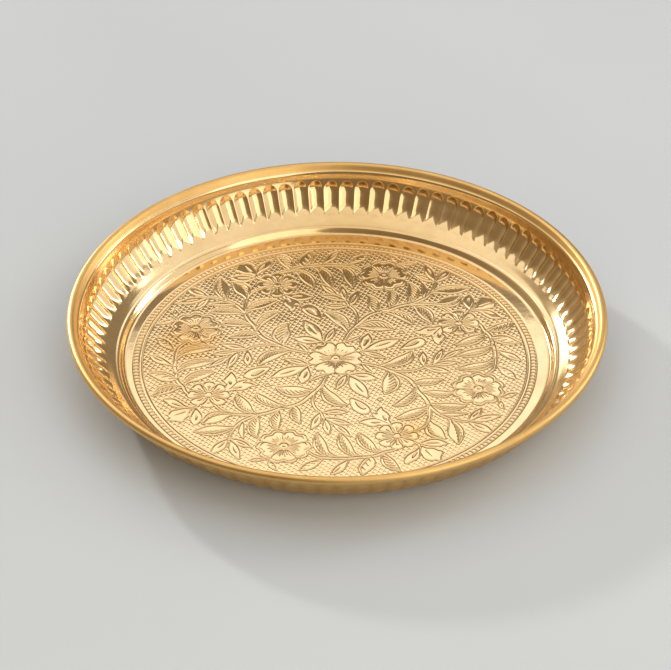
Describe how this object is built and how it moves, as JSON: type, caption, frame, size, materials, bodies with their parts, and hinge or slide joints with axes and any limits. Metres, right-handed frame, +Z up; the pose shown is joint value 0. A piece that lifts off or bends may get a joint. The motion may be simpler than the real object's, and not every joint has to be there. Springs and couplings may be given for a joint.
{
  "type": "tray",
  "caption": "Round brass tray with a flat floor, a raised step, a fluted flaring wall and a rim curled over a wire.",
  "frame": {"origin": "centre of the floor's underside, on the surface that the tray stands on", "axes": "+Z up along the tray's axis of symmetry; one of the stamped ornament's four large flowers lies towards +X"},
  "size_m": [0.203, 0.203, 0.022],
  "materials": {
    "polished_brass": "polished and lightly tarnished pressed sheet with a stamped floral ornament",
    "drawn_brass_wire": "plain drawn wire, hidden inside the rim"
  },
  "bodies": {
    "root": {"tray_shell": "polished_brass", "rim_wire": "drawn_brass_wire"}
  },
  "joints": []
}
